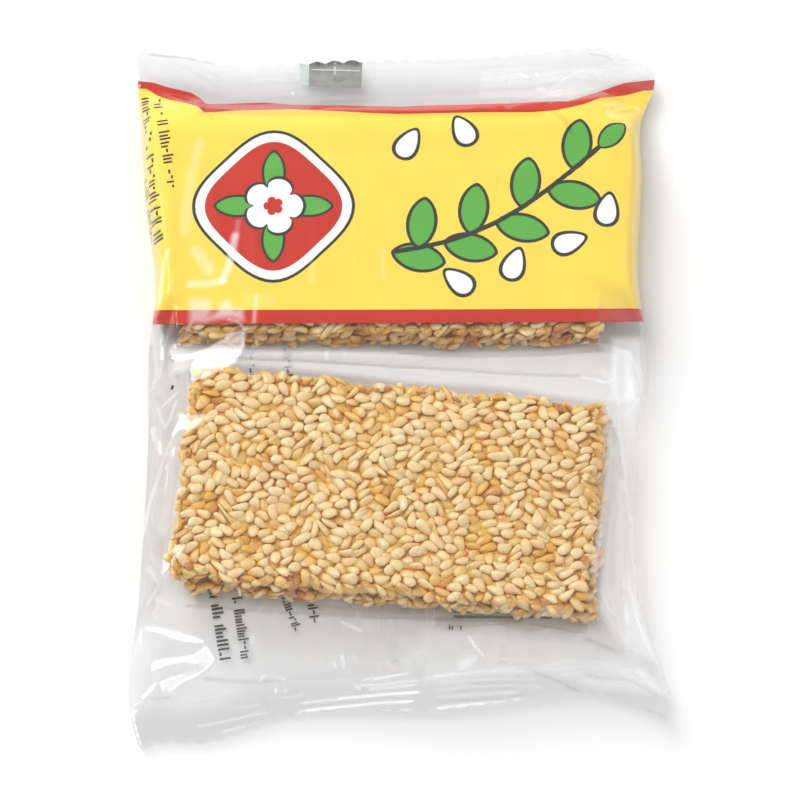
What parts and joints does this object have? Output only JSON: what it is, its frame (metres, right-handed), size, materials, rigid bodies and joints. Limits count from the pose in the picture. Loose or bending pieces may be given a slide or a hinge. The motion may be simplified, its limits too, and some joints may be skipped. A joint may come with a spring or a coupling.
{
  "type": "sesame brittle bars in a sealed clear pack",
  "caption": "Clear flow-wrap pillow pack lying flat, with crimped end seals and a printed band, filled with stacked sesame brittle bars.",
  "frame": {"origin": "middle of the pack's footprint, on the surface it lies on", "axes": "+Y from the bottom seal to the top seal, +Z out of the printed front, +X to the right seen from the front"},
  "size_m": [0.091, 0.1248, 0.0091],
  "materials": {
    "film": "thin clear glossy film with soft creases",
    "yellow_ink": "opaque yellow ink behind glossy film",
    "red_ink": "opaque red ink behind glossy film",
    "green_ink": "opaque green ink behind glossy film",
    "white_ink": "opaque white ink behind glossy film",
    "dark_ink": "dark ink on clear film",
    "sesame": "hulled seeds under a thin glossy sugar glaze",
    "caramel": "hard amber caramel, glossy"
  },
  "bodies": {
    "root": {"bag": "film"}
  },
  "joints": []
}
